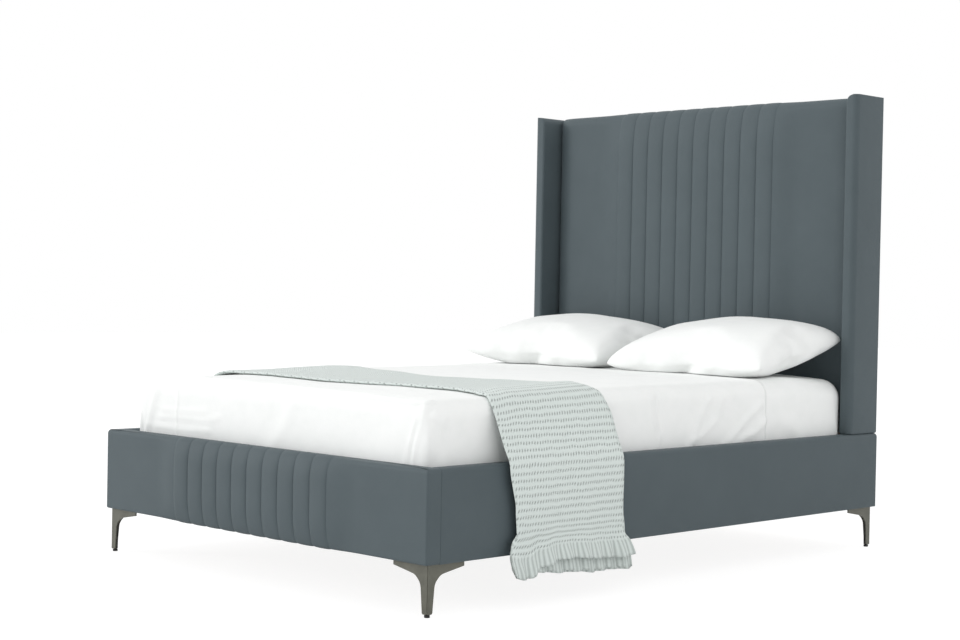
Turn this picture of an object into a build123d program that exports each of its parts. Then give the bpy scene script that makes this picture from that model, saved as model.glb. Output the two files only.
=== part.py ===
from build123d import *
import os

# A double bed with a channelled, winged headboard, on metal corner legs, made up with bedding.
# Millimetres. X runs across the bed, +Y towards the headboard, +Z up. The origin is on the floor,
# under the middle of the bed's box. Left is the side at -X.

# Whole bed
frame_width = 1460.0
frame_length = 2060.0
bed_height = 1500.0
leg_height = 135.0
rail_height = 245.0

# Upholstery
foam = 11.0
cloth = 2.0
cloth_return_height = 68.0
edge_radius = 12.0
corner_radius = 6.0
seam_radius = 4.0
underside_radius = 5.0

# Sewn channels, the same on footboard and headboard
channel_pitch = 70.0
channel_count = 10
channel_seam_rise = 8.0
channel_rise = 12.5
channel_roll = 9.0
channel_over_top = 4.0
channel_under_bottom = 3.0
channel_edge_radius = 26.0

# Base
footboard_thickness = 48.0
side_rail_thickness = 48.0
head_rail_thickness = 44.0
ledger_width = 30.0
ledger_height = 40.0
beam_width = 50.0
beam_height = 60.0

# Slats
slat_count = 14
slat_width = 70.0
slat_thickness = 20.0
slat_end_margin = 12.0
slat_side_gap = 3.5
mattress_sink = 58.0
strap_width = 25.0
strap_thickness = 1.2
strap_offset = 450.0

# Headboard
headboard_depth = 86.0
headboard_timber = 25.0
headboard_panel_thickness = 9.0
stile_width = 70.0
headboard_rail_height = 70.0
middle_rail_share = 0.24
headboard_pad_radius = 40.0

# Wings
wing_depth = 158.0
wing_thickness = 45.0
wing_inset = 4.5
wing_core_thickness = 22.0
wing_radius = 8.0

# Bolts and screws
bolt_radius = 4.0
bolt_head_radius = 8.0
bolt_head_height = 5.0
screw_radius = 2.5
screw_head_radius = 5.0
screw_head_height = 3.0
fastener_clearance = 0.2
wing_bolt_length = 58.0
wing_bolt_shares = (0.125, 0.5, 0.875)
stile_bolt_shares = (0.22, 0.8)
stile_bolt_end_cover = 4.0
bracket_bolt_length = 24.0
leg_screw_length = 40.0
leg_screw_inset = 16.0
slat_screw_length = 50.0
ledger_screw_length = 45.0
ledger_screw_count = 5
ledger_screw_margin = 90.0

# Corner blocks and brackets
corner_block_size = 70.0
corner_block_height = 60.0
bracket_length = 64.0
bracket_height = 50.0
bracket_thickness = 4.0
bracket_lift = 12.0

# Corner legs
leg_side_inset = 10.0
leg_front_inset = 15.0
leg_rear_inset = 18.5
leg_wall = 4.0
leg_arm_length = 130.0
leg_arm_end = 13.0
leg_column_width = 26.0
leg_tip_width = 19.0
leg_tip_height = 8.0
leg_column_top = 87.0
leg_brace_width = 47.0
leg_brace_height = 107.0
leg_tip_radius = 5.0
leg_throat_radius = 34.0
leg_insert_width = 15.0
leg_insert_tip_width = 14.0
leg_crease = 1.0
leg_plate_thickness = 4.0
leg_plate_lip = 25.0

# Centre legs
centre_leg_radius = 16.0
centre_leg_wall = 2.0
centre_leg_spacing = 900.0
centre_plate_length = 70.0
centre_plate_thickness = 3.0
plug_flange = 3.0
plug_length = 24.0
hanger_wall = 2.5
hanger_length = 45.0
hanger_height = 40.0

# Levelling glides
glide_radius = 7.5
glide_height = 6.0
glide_chamfer = 0.8
glide_socket_depth = 4.0
stud_radius = 3.0
stud_length = 38.0
stud_running_clearance = 0.05
stud_collar_radius = 5.5
stud_collar_height = 1.0
stud_collar_lift = 0.4
glide_inset = 8.5
stud_tip_room = 3.0

# Bedding
mattress_height = 245.0
mattress_side_gap = 7.0
mattress_foot_gap = 13.6
mattress_head_gap = 4.9
mattress_corner_radius = 75.0
mattress_edge_radius = 58.0
mattress_bottom_radius = 25.0
sheet_thickness = 1.5
sheet_gap = 0.3
fitted_sheet_tuck = 48.0
flat_sheet_short = 458.0
flat_sheet_tuck = 12.0

# Pillows
pillow_depth = 450.0
pillow_height = 176.0
pillow_base_drop = 34.0
pillow_corner_thickness = 9.0
pillow_side_gap = 13.0
pillow_middle_gap = 22.0
pillow_head_gap = 26.0
pillow_flat = 0.5

# Throw, folded lengthwise in three and laid across the foot end
throw_thickness = 10.0
throw_gap = 0.3
throw_top_radius = 62.0
throw_shoulder_radius = 26.0
throw_shoulder_gap = 4.0
throw_hang_gap = 2.0
throw_right_drop = 310.0
throw_left_drop = 145.0
throw_flare_drop = 190.0
throw_wave = 8.0
throw_wave_count = 4

# The throw's two long edges, as distances from the footboard's face
throw_right_front_top = 221.0
throw_right_front_rail = 284.0
throw_right_front_low = 324.0
throw_right_front_hem = 284.0
throw_right_back_top = 595.0
throw_right_back_rail = 684.0
throw_right_back_low = 736.0
throw_right_back_hem = 778.0
throw_left_front_top = 344.0
throw_left_front_hem = 334.0
throw_left_back_top = 724.0
throw_left_back_hem = 762.0

# How far a cut runs past the piece that it cuts
overrun = 5.0

# Places that follow from the sizes above
half_width = frame_width / 2
front_face = (channel_rise - frame_length) / 2
back_face = front_face + frame_length
rail_bottom = leg_height
rail_top = leg_height + rail_height
foot_inner = front_face + footboard_thickness
foot_core_inner = foot_inner - cloth
rail_inner = half_width - side_rail_thickness
rail_core_inner = rail_inner + cloth
cloth_return_bottom = rail_top - cloth_return_height
mattress_base_height = rail_top - mattress_sink
slat_bottom = mattress_base_height - slat_thickness
wing_outer = half_width - wing_inset
wing_inner = wing_outer - wing_thickness
timber_back = back_face - cloth
timber_front = timber_back - headboard_timber
panel_front = timber_front - headboard_panel_thickness
pad_front = back_face - headboard_depth
timber_top = bed_height - foam
head_rail_front = timber_front - head_rail_thickness
stile_bolt_length = head_rail_thickness + headboard_timber - bolt_head_height - stile_bolt_end_cover
channel_half_width = channel_pitch * channel_count / 2
leg_outer_x = half_width - leg_side_inset
leg_front = front_face + leg_front_inset
leg_rear = back_face - leg_rear_inset
middle = (front_face + back_face) / 2
mattress_half_width = rail_inner - mattress_side_gap
mattress_foot = foot_inner + mattress_foot_gap
mattress_head = pad_front - channel_rise - mattress_head_gap
pillow_width = mattress_half_width - pillow_side_gap - pillow_middle_gap
pillow_centre = mattress_half_width - pillow_side_gap - pillow_width / 2


def block(x, y, z):
    """A box between the low and high values given for each axis."""
    box = Box(x[1] - x[0], y[1] - y[0], z[1] - z[0])
    return Pos((x[0] + x[1]) / 2, (y[0] + y[1]) / 2, (z[0] + z[1]) / 2) * box


def outline(points, radii=None):
    """A flat face with straight sides, and a radius at each corner where these are given."""
    if radii is None:
        return make_face(Polyline(*points, close=True))
    return make_face(FilletPolyline(*points, radius=radii, close=True))


def rounded(a, b, radii):
    """A rectangle, with radii at low-low, high-low, high-high and low-high."""
    return outline([(a[0], b[0]), (a[1], b[0]), (a[1], b[1]), (a[0], b[1])], radii)


def along_x(face, x):
    return extrude(Plane.YZ.offset(x[0]) * face, amount=x[1] - x[0])


def along_y(face, y):
    return extrude(Plane.XZ.offset(-y[1]) * face, amount=y[1] - y[0])


def along_z(face, z):
    return extrude(Plane.XY.offset(z[0]) * face, amount=z[1] - z[0])


def left_of(part):
    """The same piece on the other side of the bed."""
    return mirror(part, about=Plane.YZ)


def on_both_sides(part):
    return [part, left_of(part)]


def upright_edges(part):
    return part.edges().filter_by(Axis.Z)


def top_edges(part):
    return part.edges().group_by(Axis.Z)[-1]


def bottom_edges(part):
    return part.edges().group_by(Axis.Z)[0]


def rod(radius, length):
    return Cylinder(radius, length, align=(Align.CENTER, Align.CENTER, Align.MIN))


def pointing(axis, place):
    """A place whose +Z runs along the given axis."""
    return Plane(origin=place, z_dir=axis).location


def bolt(head_radius, head_height, shank_radius, shank_length):
    """A bolt with its head under z = 0 and its shank above."""
    head = Pos(0, 0, -head_height) * rod(head_radius, head_height)
    return head + rod(shank_radius, shank_length)


def big_bolt(length):
    return bolt(bolt_head_radius, bolt_head_height, bolt_radius, length)


def big_bolt_hole(length):
    return bolt(bolt_head_radius + fastener_clearance, bolt_head_height,
                bolt_radius + fastener_clearance, length)


def screw(length):
    return bolt(screw_head_radius, screw_head_height, screw_radius, length)


def screw_hole(length):
    return rod(screw_radius + fastener_clearance, length + fastener_clearance)


def place_all(shape, places):
    return [place * shape for place in places]


def cut_all(part, tools):
    for tool in tools:
        part = part - tool
    return part


# Where the fasteners go

def wing_bolt_places(side):
    """Heads lie in the wing core's outer face, shanks point to the middle of the bed."""
    x = side * (wing_inner + (wing_thickness + wing_core_thickness) / 2 - bolt_head_height)
    y = (timber_front + timber_back) / 2
    heights = [rail_top + share * (timber_top - rail_top) for share in wing_bolt_shares]
    return [pointing((-side, 0, 0), (x, y, z)) for z in heights]


def stile_bolt_places(side):
    """Heads lie in the head rail's front face, shanks run back into the stile."""
    x = side * (wing_inner - stile_width / 2)
    y = head_rail_front + bolt_head_height
    heights = [rail_bottom + share * rail_height for share in stile_bolt_shares]
    return [pointing((0, 1, 0), (x, y, z)) for z in heights]


def bracket_z():
    low = rail_bottom + corner_block_height + bracket_lift
    return (low, low + bracket_height)


def corner_signs():
    return [(side, end) for side in (-1, 1) for end in (-1, 1)]


def corner_inner_y(end):
    """The face that a corner's block and bracket lie against, at the foot or the head end."""
    return foot_core_inner if end < 0 else head_rail_front


def bracket_bolt_places():
    places = []
    z = sum(bracket_z()) / 2
    reach = (bracket_length + bracket_thickness) / 2
    for side, end in corner_signs():
        y = corner_inner_y(end)
        across = (side * (rail_core_inner - reach), y - end * bracket_thickness, z)
        along = (side * (rail_core_inner - bracket_thickness), y - end * reach, z)
        places.append(pointing((0, end, 0), across))
        places.append(pointing((side, 0, 0), along))
    return places


def leg_screw_places():
    places = []
    z = leg_height - leg_plate_thickness
    near = leg_screw_inset
    far = corner_block_size - leg_screw_inset
    for side, end in corner_signs():
        for u, v in ((near, near), (far, near), (near, far)):
            x = side * (rail_core_inner - u)
            places.append(pointing((0, 0, 1), (x, corner_inner_y(end) - end * v, z)))
    return places


def centre_screw_places():
    places = []
    offset = centre_plate_length / 2 - screw_head_radius * 2
    z = slat_bottom - beam_height - centre_plate_thickness
    for x, y in centre_glide_places().values():
        places += [pointing((0, 0, 1), (x, y - offset, z)), pointing((0, 0, 1), (x, y + offset, z))]
    return places


def slat_places():
    first = foot_core_inner + slat_end_margin + slat_width / 2
    last = head_rail_front - slat_end_margin - slat_width / 2
    step = (last - first) / (slat_count - 1)
    return [first + step * number for number in range(slat_count)]


def slat_screw_places():
    places = []
    for y in (slat_places()[0], slat_places()[-1]):
        for x in (-rail_core_inner + ledger_width / 2, 0, rail_core_inner - ledger_width / 2):
            places.append(pointing((0, 0, -1), (x, y, mattress_base_height - screw_head_height)))
    return places


def ledger_span():
    clear = bracket_length + bracket_thickness
    return (foot_core_inner + clear, head_rail_front - clear)


def ledger_screw_places(side):
    low = ledger_span()[0] + ledger_screw_margin
    high = ledger_span()[1] - ledger_screw_margin
    step = (high - low) / (ledger_screw_count - 1)
    z = slat_bottom - ledger_height / 2
    x = side * (rail_core_inner - ledger_width)
    return [pointing((side, 0, 0), (x, low + step * number, z)) for number in range(ledger_screw_count)]


# Upholstered boards

def channel_block(face_y, depth, bottom, top):
    """Ten sewn channels standing in front of face_y, rolled over at top and bottom."""
    seam = face_y - channel_seam_rise
    crest = face_y - channel_rise
    edges = []
    for number in range(channel_count):
        start = number * channel_pitch - channel_half_width
        end = start + channel_pitch
        shoulder = (channel_seam_rise + channel_rise * 2) / 3
        edges.append(ThreePointArc((start, seam), (start + channel_roll / 3, face_y - shoulder),
                                   (start + channel_roll, crest)))
        edges.append(Line((start + channel_roll, crest), (end - channel_roll, crest)))
        edges.append(ThreePointArc((end - channel_roll, crest),
                                   (end - channel_roll / 3, face_y - shoulder), (end, seam)))
    back = face_y + depth
    edges.append(Polyline((channel_half_width, seam), (channel_half_width, back),
                          (-channel_half_width, back), (-channel_half_width, seam)))
    plan = make_face(edges)
    side = rounded((crest, back), (bottom, top),
                   [channel_edge_radius, 0, edge_radius, channel_edge_radius])
    return along_z(plan, (bottom, top)) & along_x(side, (-channel_half_width, channel_half_width))


def make_footboard():
    x = (-half_width, half_width)
    y = (front_face, foot_inner)
    z = (rail_bottom, rail_top)
    board = block(x, y, z)
    board = fillet(upright_edges(board).sort_by(Axis.Y)[:2], corner_radius)
    show_edges = [edge for edge in top_edges(board) if edge.center().Y < foot_inner - seam_radius / 2]
    board = fillet(show_edges, edge_radius)
    seam_edges = [edge for edge in board.edges().group_by(Axis.Y)[-1]
                  if edge.center().Z > rail_bottom + seam_radius]
    board = fillet(seam_edges, seam_radius)
    board = fillet(bottom_edges(board), underside_radius)
    channels = channel_block(front_face, footboard_thickness, rail_bottom - channel_under_bottom,
                             rail_top + channel_over_top)
    core = block((-half_width + foam, half_width - foam), (front_face + foam, foot_core_inner),
                 (rail_bottom + cloth, rail_top - foam))
    window = block((-rail_core_inner, rail_core_inner), (foot_core_inner - overrun, foot_inner + overrun),
                   (rail_bottom - channel_under_bottom - overrun, cloth_return_bottom))
    cover = board + channels - core - window
    holes = place_all(big_bolt_hole(bracket_bolt_length), bracket_bolt_places())
    return cut_all(core, holes), cover


def make_side_rail():
    """The right side rail; its length runs from the footboard to the back of the bed."""
    x = (rail_inner, half_width)
    y = (foot_inner, back_face)
    z = (rail_bottom, rail_top)
    board = block(x, y, z)
    board = fillet(upright_edges(board).sort_by(lambda edge: edge.center().X + edge.center().Y)[-1],
                   corner_radius)
    inside = rail_inner + seam_radius
    show_edges = [edge for edge in top_edges(board)
                  if edge.center().X > inside and edge.center().Y > foot_inner + seam_radius]
    board = fillet(show_edges, edge_radius)
    board = fillet([edge for edge in top_edges(board) if edge.center().X < inside], edge_radius / 2)
    seam_edges = [edge for edge in board.faces().sort_by(Axis.Y)[0].edges()
                  if edge.center().Z > rail_bottom + seam_radius and edge.center().X > inside]
    board = fillet(seam_edges, seam_radius)
    core = block((rail_core_inner, half_width - foam), (foot_inner, timber_back),
                 (rail_bottom + cloth, rail_top - foam))
    window = block((rail_inner - overrun, rail_core_inner), (foot_inner - overrun, back_face + overrun),
                   (rail_bottom - overrun, cloth_return_bottom))
    cover = board - core - window
    holes = place_all(big_bolt_hole(bracket_bolt_length), bracket_bolt_places())
    holes += place_all(screw_hole(ledger_screw_length), ledger_screw_places(1))
    return cut_all(core, holes), cover


def make_head_rail():
    rail = block((-rail_inner, rail_inner), (head_rail_front, timber_front),
                 (rail_bottom, rail_top))
    holes = place_all(big_bolt_hole(bracket_bolt_length), bracket_bolt_places())
    for side in (-1, 1):
        holes += place_all(big_bolt_hole(stile_bolt_length), stile_bolt_places(side))
    return cut_all(rail, holes)


# Headboard

def make_headboard_pad():
    """Foam and fabric over the panel, wrapped over the frame's top, with the channels sewn in."""
    x = (-wing_inner, wing_inner)
    y = (pad_front, timber_back)
    z = (rail_top, bed_height)
    pad = block(x, y, z)
    pad = fillet(upright_edges(pad).sort_by(Axis.Y)[:2], headboard_pad_radius)
    pad = fillet([edge for edge in top_edges(pad) if edge.center().Y < panel_front], channel_edge_radius)
    channels = channel_block(pad_front, headboard_depth - cloth, rail_top, bed_height + channel_over_top)
    inside = block((-wing_inner - overrun, wing_inner + overrun), (panel_front, timber_back + overrun),
                   (rail_top - overrun, timber_top))
    return pad + channels - inside


def make_stile():
    stile = block((wing_inner - stile_width, wing_inner), (timber_front, timber_back),
                  (rail_bottom, timber_top))
    holes = place_all(big_bolt_hole(wing_bolt_length), wing_bolt_places(1))
    holes += place_all(big_bolt_hole(stile_bolt_length), stile_bolt_places(1))
    return cut_all(stile, holes)


def headboard_rail(bottom):
    inner = wing_inner - stile_width
    return block((-inner, inner), (timber_front, timber_back), (bottom, bottom + headboard_rail_height))


def make_wing():
    """The right wing: a timber core in a padded cover that stands on the side rail."""
    x = (wing_inner, wing_outer)
    y = (back_face - wing_depth, back_face)
    z = (rail_top, bed_height)
    wing = block(x, y, z)
    wing = fillet(upright_edges(wing), wing_radius)
    wing = fillet(top_edges(wing), wing_radius)
    core_inner = wing_inner + (wing_thickness - wing_core_thickness) / 2
    core = block((core_inner, core_inner + wing_core_thickness),
                 (back_face - wing_depth + foam, back_face - foam), (rail_top, timber_top))
    cover = wing - core
    holes = place_all(big_bolt_hole(wing_bolt_length), wing_bolt_places(1))
    return cut_all(core, holes), cut_all(cover, holes)


# Inside the base

def make_ledger(side):
    x = sorted((side * (rail_core_inner - ledger_width), side * rail_core_inner))
    ledger = block(x, ledger_span(), (slat_bottom - ledger_height, slat_bottom))
    holes = place_all(screw_hole(ledger_screw_length), ledger_screw_places(side))
    holes += place_all(screw_hole(slat_screw_length), slat_screw_places())
    return cut_all(ledger, holes)


def make_beam():
    beam = block((-beam_width / 2, beam_width / 2),
                 (foot_core_inner + hanger_wall, head_rail_front - hanger_wall),
                 (slat_bottom - beam_height, slat_bottom))
    holes = place_all(screw_hole(slat_screw_length), slat_screw_places())
    holes += place_all(screw_hole(leg_screw_length), centre_screw_places())
    return cut_all(beam, holes)


def make_hangers():
    """Steel saddles that hold the beam's ends on the footboard and on the head rail."""
    hangers = []
    half = beam_width / 2
    bottom = slat_bottom - beam_height
    for end in (-1, 1):
        face = corner_inner_y(end)
        y = sorted((face, face - end * hanger_length))
        outer = block((-half - hanger_wall, half + hanger_wall), y,
                      (bottom - hanger_wall, bottom + hanger_height))
        room = sorted((face - end * hanger_wall, face - end * (hanger_length + overrun)))
        inner = block((-half, half), room, (bottom, bottom + hanger_height + overrun))
        hangers.append(outer - inner)
    return hangers


def make_slats():
    x = (-rail_inner + slat_side_gap, rail_inner - slat_side_gap)
    ends = (slat_places()[0], slat_places()[-1])
    slats = []
    for y in slat_places():
        slat = block(x, (y - slat_width / 2, y + slat_width / 2), (slat_bottom, mattress_base_height))
        if y in ends:
            seat = bolt(screw_head_radius + fastener_clearance, screw_head_height,
                        screw_radius + fastener_clearance, slat_thickness)
            slat = cut_all(slat, place_all(seat, slat_screw_places()))
        slats.append(slat)
    return slats


def make_straps():
    y = (slat_places()[0] - slat_width / 2, slat_places()[-1] + slat_width / 2)
    x = (strap_offset - strap_width / 2, strap_offset + strap_width / 2)
    return on_both_sides(block(x, y, (slat_bottom - strap_thickness, slat_bottom)))


def make_corner_blocks():
    blocks = []
    holes = place_all(screw_hole(leg_screw_length), leg_screw_places())
    for side, end in corner_signs():
        face = corner_inner_y(end)
        x = sorted((side * rail_core_inner, side * (rail_core_inner - corner_block_size)))
        y = sorted((face, face - end * corner_block_size))
        blocks.append(cut_all(block(x, y, (rail_bottom, rail_bottom + corner_block_height)), holes))
    return blocks


def make_brackets():
    brackets = []
    holes = place_all(big_bolt_hole(bracket_bolt_length), bracket_bolt_places())
    for side, end in corner_signs():
        face = corner_inner_y(end)
        across = block(sorted((side * rail_core_inner, side * (rail_core_inner - bracket_length))),
                       sorted((face, face - end * bracket_thickness)), bracket_z())
        along = block(sorted((side * rail_core_inner, side * (rail_core_inner - bracket_thickness))),
                      sorted((face, face - end * bracket_length)), bracket_z())
        brackets.append(cut_all(across + along, holes))
    return brackets


# Legs and glides

def leg_face():
    """One face of a corner leg: a slim column that opens into an arm under the rail."""
    points = [(0, leg_tip_height), (leg_tip_width, leg_tip_height), (leg_column_width, leg_column_top),
              (leg_brace_width, leg_brace_height), (leg_arm_length, leg_height - leg_arm_end),
              (leg_arm_length, leg_height), (0, leg_height)]
    radii = [leg_tip_radius, leg_tip_radius, leg_throat_radius, leg_throat_radius, 0, 0, 0]
    return outline(points, radii)


def to_corner(part, side, end):
    """Moves a leg piece, made in the corner at u = v = 0, under its corner of the bed."""
    if end > 0:
        part = mirror(part, about=Plane.XZ)
    if side < 0:
        part = mirror(part, about=Plane.YZ)
    return Pos(side * leg_outer_x, leg_front if end < 0 else leg_rear, 0) * part


def make_leg(side, end):
    """Two folded faces that meet at the outer corner, under a screw plate."""
    across = along_y(mirror(leg_face(), about=Plane.YZ), (0, leg_wall))
    along = along_x(leg_face(), (-leg_wall, 0))
    lip = leg_plate_lip
    plate = outline([(0, 0), (0, leg_arm_length), (-lip, leg_arm_length), (-leg_arm_length, lip),
                     (-leg_arm_length, 0)])
    plate = along_z(plate, (leg_height - leg_plate_thickness, leg_height))
    crease = block((-leg_crease, leg_crease), (-leg_crease, leg_crease),
                   (leg_tip_height + leg_tip_radius, leg_height + overrun))
    leg = to_corner(across + along + plate - crease, side, end)
    return cut_all(leg, place_all(Pos(0, 0, -overrun) * screw_hole(leg_screw_length), leg_screw_places()))


def make_leg_insert(side, end):
    """The black plastic filling of the leg's column, which holds the glide's thread."""
    top = leg_height - leg_plate_thickness
    face = outline([(leg_wall, leg_tip_height), (leg_insert_tip_width, leg_tip_height),
                    (leg_insert_width, leg_column_top), (leg_insert_width, top), (leg_wall, top)])
    post = along_x(face, (-leg_insert_width, -leg_wall))
    post = post & along_y(mirror(face, about=Plane.YZ), (leg_wall, leg_insert_width))
    return to_corner(post, side, end)


def corner_glide_places():
    places = {}
    for side, end in corner_signs():
        name = ("front" if end < 0 else "rear") + ("_left" if side < 0 else "_right")
        y = leg_front + glide_inset if end < 0 else leg_rear - glide_inset
        places[name] = (side * (leg_outer_x - glide_inset), y)
    return places


def centre_glide_places():
    return {"centre_front": (0, middle - centre_leg_spacing / 2),
            "centre_rear": (0, middle + centre_leg_spacing / 2)}


def make_glide_pad(x, y):
    pad = chamfer(rod(glide_radius, glide_height).edges().group_by(Axis.Z)[0], glide_chamfer)
    socket = Pos(0, 0, glide_height - glide_socket_depth) * rod(stud_radius + stud_running_clearance,
                                                                glide_height)
    return Pos(x, y, 0) * (pad - socket)


def make_glide_stud(x, y):
    low = glide_height - glide_socket_depth
    collar = Pos(0, 0, glide_height + stud_collar_lift) * rod(stud_collar_radius, stud_collar_height)
    return Pos(x, y, 0) * (Pos(0, 0, low) * rod(stud_radius, stud_length) + collar)


def stud_hole(x, y):
    low = glide_height - glide_socket_depth
    radius = stud_radius + stud_running_clearance
    return Pos(x, y, low) * rod(radius, stud_length + stud_tip_room)


def make_centre_leg(x, y):
    """A steel tube under the beam, with a plate on top."""
    plate_bottom = slat_bottom - beam_height - centre_plate_thickness
    tube = rod(centre_leg_radius, plate_bottom - leg_tip_height - plug_flange)
    bore = rod(centre_leg_radius - centre_leg_wall, plate_bottom - leg_tip_height - plug_flange)
    tube = Pos(x, y, leg_tip_height + plug_flange) * (tube - bore)
    plate = block((x - beam_width / 2, x + beam_width / 2),
                  (y - centre_plate_length / 2, y + centre_plate_length / 2),
                  (plate_bottom, plate_bottom + centre_plate_thickness))
    return cut_all(tube + plate, place_all(screw_hole(leg_screw_length), centre_screw_places()))


def make_plug(x, y):
    flange = Pos(0, 0, leg_tip_height) * rod(centre_leg_radius, plug_flange)
    body = Pos(0, 0, leg_tip_height) * rod(centre_leg_radius - centre_leg_wall, plug_flange + plug_length)
    return Pos(x, y, 0) * (flange + body) - stud_hole(x, y)


# Bedding

def padded_block(x, y, z, grow):
    """A mattress shape, grown by a thickness all round except underneath."""
    x = (x[0] - grow, x[1] + grow)
    y = (y[0] - grow, y[1] + grow)
    z = (z[0], z[1] + grow)
    form = block(x, y, z)
    form = fillet(upright_edges(form), mattress_corner_radius + grow)
    form = fillet(top_edges(form), mattress_edge_radius + grow)
    return fillet(bottom_edges(form), mattress_bottom_radius)


mattress_x = (-mattress_half_width, mattress_half_width)
mattress_y = (mattress_foot, mattress_head)
mattress_z = (mattress_base_height, mattress_base_height + mattress_height)
fitted_inside = sheet_gap
fitted_outside = fitted_inside + sheet_thickness
flat_inside = fitted_outside + sheet_gap
flat_outside = flat_inside + sheet_thickness
pillow_seat = mattress_z[1] + fitted_outside + sheet_gap
dressed_top = mattress_z[1] + flat_outside
dressed_side = mattress_x[1] + flat_outside


def mattress_shape(grow):
    return padded_block(mattress_x, mattress_y, mattress_z, grow)


def make_fitted_sheet():
    shell = mattress_shape(fitted_outside) - mattress_shape(fitted_inside)
    hem = mattress_base_height + fitted_sheet_tuck
    far = frame_length
    return shell - block((-far, far), (-far, far), (0, hem))


def make_flat_sheet():
    shell = mattress_shape(flat_outside) - mattress_shape(flat_inside)
    far = frame_length
    hem = mattress_base_height + mattress_bottom_radius + flat_sheet_tuck
    shell = shell - block((-far, far), (mattress_y[1] - flat_sheet_short, far), (0, bed_height))
    return shell - block((-far, far), (-far, far), (0, hem))


def pillow_section(width_share, depth_share, height_share):
    """A lens across the pillow: crowned above, flatter below, pinched at its seam."""
    x = width_share * pillow_width / 2
    half_depth = depth_share * pillow_depth / 2
    top = height_share * (pillow_height - pillow_base_drop)
    bottom = height_share * pillow_base_drop
    edge = pillow_corner_thickness / 2
    upper = ThreePointArc((-half_depth, edge), (0, top + edge), (half_depth, edge))
    right = Line((half_depth, edge), (half_depth, -edge))
    lower = ThreePointArc((half_depth, -edge), (0, -bottom - edge), (-half_depth, -edge))
    left = Line((-half_depth, -edge), (-half_depth, edge))
    return Plane.YZ.offset(x) * make_face([upper, right, lower, left])


def make_pillow():
    """The right pillow: its long edges draw in a little between the four horned corners."""
    shares = [(-1.0, 0.95, 0.05), (-0.94, 0.955, 0.42), (-0.8, 0.965, 0.74), (-0.5, 0.985, 0.95),
              (0.0, 1.0, 1.0), (0.5, 0.985, 0.95), (0.8, 0.965, 0.74), (0.94, 0.955, 0.42), (1.0, 0.95, 0.05)]
    form = loft([pillow_section(*share) for share in shares])
    y = back_face - headboard_depth - channel_rise - pillow_head_gap - pillow_depth / 2
    z = pillow_seat + pillow_base_drop + pillow_corner_thickness / 2 - pillow_flat
    form = Pos(pillow_centre, y, z) * form
    far = frame_width
    return form - block((-far, far), (-far, far), (0, pillow_seat))


# Throw

throw_inner_top = dressed_top + throw_gap
throw_hang_inner = half_width + throw_hang_gap + throw_wave
throw_hang_outer = throw_hang_inner + throw_thickness


def throw_hood(grow, bottom, end_y):
    """A solid arch over mattress and rails; the throw is the skin between two of these."""
    top_x = dressed_side + throw_hang_gap + grow
    rail_x = throw_hang_inner + grow
    shoulder = rail_top + throw_shoulder_gap
    points = [(-rail_x, bottom), (rail_x, bottom), (rail_x, shoulder), (top_x, throw_inner_top + grow),
              (-top_x, throw_inner_top + grow), (-rail_x, shoulder)]
    radii = [0, 0, throw_shoulder_radius + grow, throw_top_radius + grow,
             throw_top_radius + grow, throw_shoulder_radius + grow]
    return along_y(outline(points, radii), end_y)


def wave_face(front, back, drop, amplitude):
    """The hanging cloth cut level, a drop below the rails: waves of arcs, alike inside and outside."""
    front = front + front_face
    back = back + front_face
    z = rail_top - drop
    count = 2 * throw_wave_count
    step = (back - front) / count

    def wavy(x, first, last, direction):
        edges = []
        for number in range(count):
            start = first + direction * step * number
            end = start + direction * step
            turn = number if direction > 0 else count - 1 - number
            bulge = amplitude if turn % 2 == 0 else -amplitude
            edges.append(ThreePointArc((x, start), (x + bulge, (start + end) / 2), (x, end)))
        return edges

    inner = wavy(throw_hang_inner, front, back, 1)
    outer = wavy(throw_hang_outer, back, front, -1)
    ends = [Line((throw_hang_inner, back), (throw_hang_outer, back)),
            Line((throw_hang_outer, front), (throw_hang_inner, front))]
    return Plane.XY.offset(z) * make_face(inner + [ends[0]] + outer + [ends[1]])


def make_throw():
    y = (-frame_length / 2, 0)
    neck_drop = throw_shoulder_radius
    neck = rail_top - neck_drop
    skin = throw_hood(throw_thickness, neck, y) - throw_hood(0, neck - overrun, y)
    top_x = dressed_side + throw_hang_gap
    plan = outline([(-throw_hang_outer, throw_left_front_top), (-top_x, throw_left_front_top),
                    (top_x, throw_right_front_top), (throw_hang_outer, throw_right_front_rail),
                    (throw_hang_outer, throw_right_back_rail), (top_x, throw_right_back_top),
                    (-top_x, throw_left_back_top), (-throw_hang_outer, throw_left_back_top)])
    top = skin & along_z(Pos(0, front_face) * plan, (neck, bed_height))
    small_wave = throw_wave / 4
    right = loft([wave_face(throw_right_front_rail, throw_right_back_rail, neck_drop, small_wave),
                  wave_face(throw_right_front_low, throw_right_back_low, throw_flare_drop, throw_wave / 2),
                  wave_face(throw_right_front_hem, throw_right_back_hem, throw_right_drop, throw_wave)],
                 ruled=True)
    left = loft([wave_face(throw_left_front_top, throw_left_back_top, neck_drop, small_wave),
                 wave_face(throw_left_front_hem, throw_left_back_hem, throw_left_drop, throw_wave)],
                ruled=True)
    return top + right + left_of(left)


def solids_of(parts):
    solids = []
    for part in parts:
        solids += part.solids()
    return Compound(children=solids) if len(solids) > 1 else solids[0]


def save(name, *parts):
    export_step(solids_of(parts), "parts/" + name + ".step")


os.makedirs("parts", exist_ok=True)

footboard_core, footboard_cover = make_footboard()
save("footboard_core", footboard_core)
save("footboard_cover", footboard_cover)

rail_core, rail_cover = make_side_rail()
save("side_rail_right_core", rail_core)
save("side_rail_left_core", left_of(rail_core))
save("side_rail_right_cover", rail_cover)
save("side_rail_left_cover", left_of(rail_cover))
save("head_rail", make_head_rail())

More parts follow.
